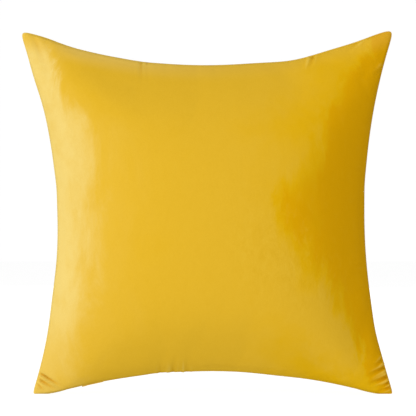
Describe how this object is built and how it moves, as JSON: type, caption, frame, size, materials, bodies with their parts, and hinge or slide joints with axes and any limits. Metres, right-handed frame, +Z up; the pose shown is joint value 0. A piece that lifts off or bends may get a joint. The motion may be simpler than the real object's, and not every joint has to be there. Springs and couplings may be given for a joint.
{
  "type": "throw pillow",
  "caption": "Square knife-edge throw pillow: plump velvet cover with a concealed zip in its bottom seam over a fibre-filled insert.",
  "frame": {"origin": "on the floor, under the middle of the pillow, which stands upright on its two bottom corner tips", "axes": "+Z up, front face towards -Y, +X to the right as seen from the front; the seam lies in the plane Y = 0"},
  "size_m": [0.43, 0.175, 0.425],
  "materials": {
    "velvet": "short-pile velvet, golden yellow, with a soft sheen",
    "sewing_thread": "polyester thread dyed to match the velvet",
    "overlock_thread": "textured polyester thread",
    "zip_tape": "woven polyester tape dyed to match",
    "zip_coil": "moulded monofilament coil",
    "zip_metal": "die-cast zinc, enamelled to match",
    "label_satin": "blank woven satin",
    "ticking": "plain white woven ticking",
    "insert_thread": "white polyester thread",
    "fibre_fill": "siliconised hollow polyester fibre"
  },
  "bodies": {
    "pillow": {"cover_front_panel": "velvet", "cover_back_panel": "velvet", "cover_seam_thread": "sewing_thread", "cover_overlock_thread": "overlock_thread", "cover_care_label": "label_satin", "zip_tape_front": "zip_tape", "zip_tape_back": "zip_tape", "zip_coil_front": "zip_coil", "zip_coil_back": "zip_coil", "zip_stitching_front": "sewing_thread", "zip_stitching_back": "sewing_thread", "zip_top_stops": "zip_metal", "zip_bottom_stop": "zip_metal", "insert_front_panel": "ticking", "insert_back_panel": "ticking", "insert_seam_thread": "insert_thread", "insert_closing_stitch": "insert_thread", "insert_care_label": "label_satin", "insert_fill": "fibre_fill"},
    "slider": {"zip_slider": "zip_metal"},
    "pull": {"zip_pull": "zip_metal"}
  },
  "joints": [
    {"name": "zip_travel", "type": "hinge", "parent": "pillow", "child": "slider", "pos_m": [0.005, 0, -0.67806], "axis": [0, 1, 0], "range_deg": [0, 24.6]},
    {"name": "pull_swing", "type": "hinge", "parent": "slider", "child": "pull", "pos_m": [-0.14495, 0, 0.00954], "axis": [0, 1, 0], "range_deg": [0, 180]}
  ]
}
